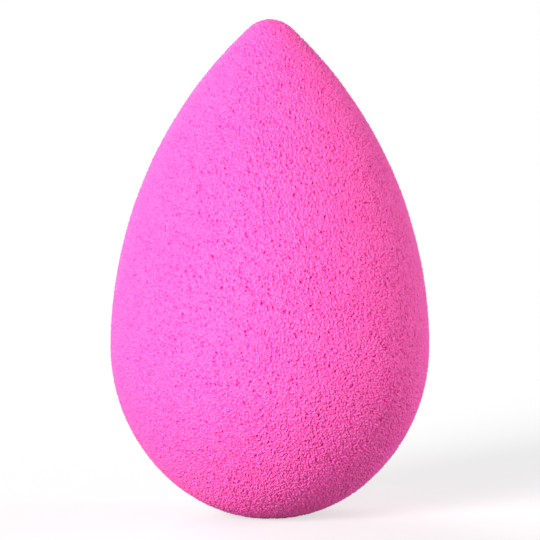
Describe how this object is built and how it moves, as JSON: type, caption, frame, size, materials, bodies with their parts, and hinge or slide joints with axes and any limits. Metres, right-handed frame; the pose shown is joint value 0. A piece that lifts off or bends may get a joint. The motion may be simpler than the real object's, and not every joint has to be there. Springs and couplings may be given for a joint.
{
  "type": "makeup sponge",
  "caption": "Teardrop makeup sponge of solid soft foam, with a round base for spreading and a soft point for small places.",
  "frame": {"origin": "middle of the small flat under the base, on the sponge's axis", "axes": "+Z along the sponge's axis, from the base to the point; X and Y are equal, because the sponge is round"},
  "size_m": [0.0383, 0.0382, 0.06],
  "materials": {
    "pink_foam": "matte fine-celled foam with a soft sheen"
  },
  "bodies": {
    "root": {"foam_body": "pink_foam"}
  },
  "joints": []
}
